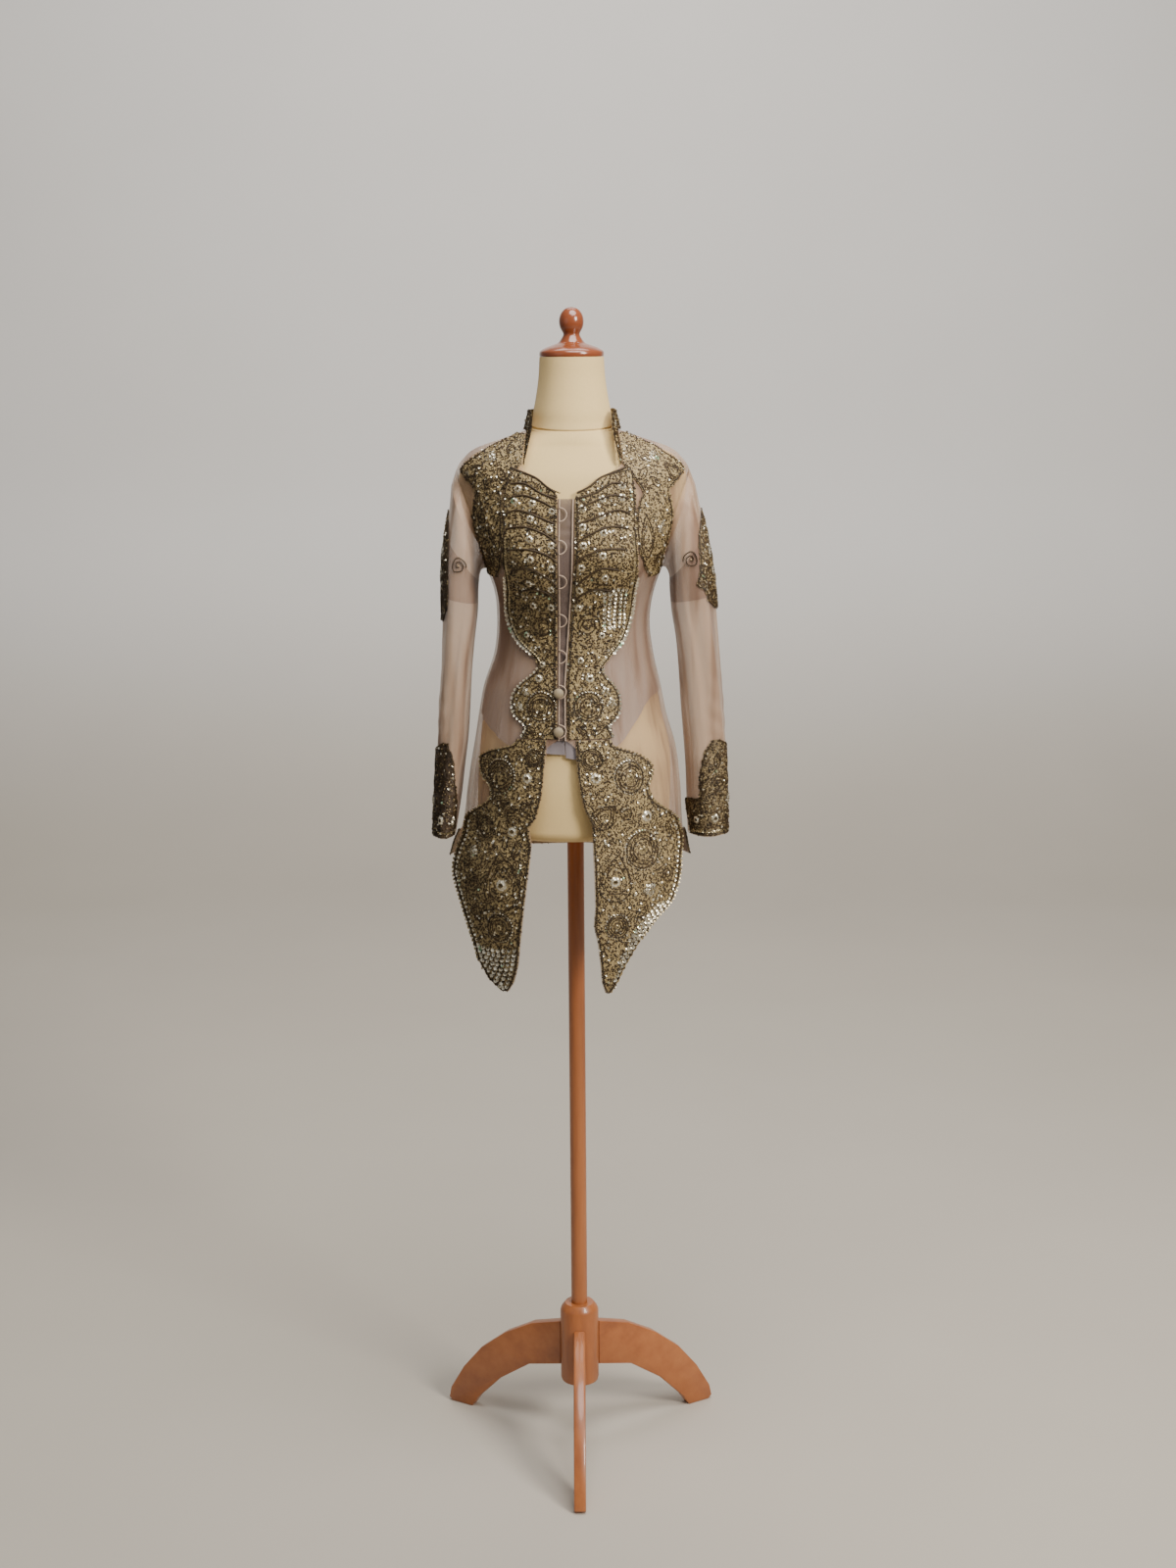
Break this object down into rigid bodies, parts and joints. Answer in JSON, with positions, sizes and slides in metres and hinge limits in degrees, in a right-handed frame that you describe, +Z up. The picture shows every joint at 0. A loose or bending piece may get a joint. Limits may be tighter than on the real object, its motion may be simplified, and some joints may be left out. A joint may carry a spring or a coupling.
{
  "type": "kebaya blouse on a dress form",
  "caption": "Sheer beaded kebaya blouse with long sleeves and pointed fronts, worn on a limbless dress form with a cap, pole and board-legged stand.",
  "frame": {"origin": "on the floor under the middle of the bounding box", "axes": "+Z up, the front of the blouse faces -Y, +X is the wearer's left"},
  "size_m": [0.445, 0.3859, 1.7486],
  "materials": {
    "cream_cloth": "plain woven cotton, matt",
    "turned_cap": "turned and varnished, glossy",
    "stand_wood": "satin varnish",
    "nude_tulle": "sheer net, matt",
    "lilac_lining": "satin",
    "mauve_tulle": "doubled net, matt",
    "bead_lace": "net covered in beads, cords and sequins"
  },
  "bodies": {
    "root": {"button_1": "nude_tulle", "button_2": "nude_tulle", "collar": "bead_lace", "form_torso": "cream_cloth", "hub": "stand_wood", "lace_armhole_left": "bead_lace", "lace_armhole_right": "bead_lace", "lace_back_hem": "bead_lace", "lace_bust_left": "bead_lace", "lace_bust_right": "bead_lace", "lace_cuff_left": "bead_lace", "lace_cuff_right": "bead_lace", "lace_hem_left": "bead_lace", "lace_hem_right": "bead_lace", "lace_shoulder_left": "bead_lace", "lace_shoulder_right": "bead_lace", "lace_sleeve_left": "bead_lace", "lace_sleeve_right": "bead_lace", "lace_waist_left": "bead_lace", "lace_waist_right": "bead_lace", "leg_1": "stand_wood", "leg_2": "stand_wood", "leg_3": "stand_wood", "lining_back": "lilac_lining", "lining_front_left": "lilac_lining", "lining_front_right": "lilac_lining", "loop_1": "nude_tulle", "loop_2": "nude_tulle", "loop_3": "nude_tulle", "loop_4": "nude_tulle", "loop_5": "nude_tulle", "loop_6": "nude_tulle", "loop_7": "nude_tulle", "neck_cap": "turned_cap", "piping_left": "nude_tulle", "piping_right": "nude_tulle", "pole": "stand_wood", "sleeve_left": "nude_tulle", "sleeve_right": "nude_tulle", "tulle_back": "nude_tulle", "tulle_front_left": "nude_tulle", "tulle_front_right": "nude_tulle", "underlap": "mauve_tulle"}
  },
  "joints": []
}
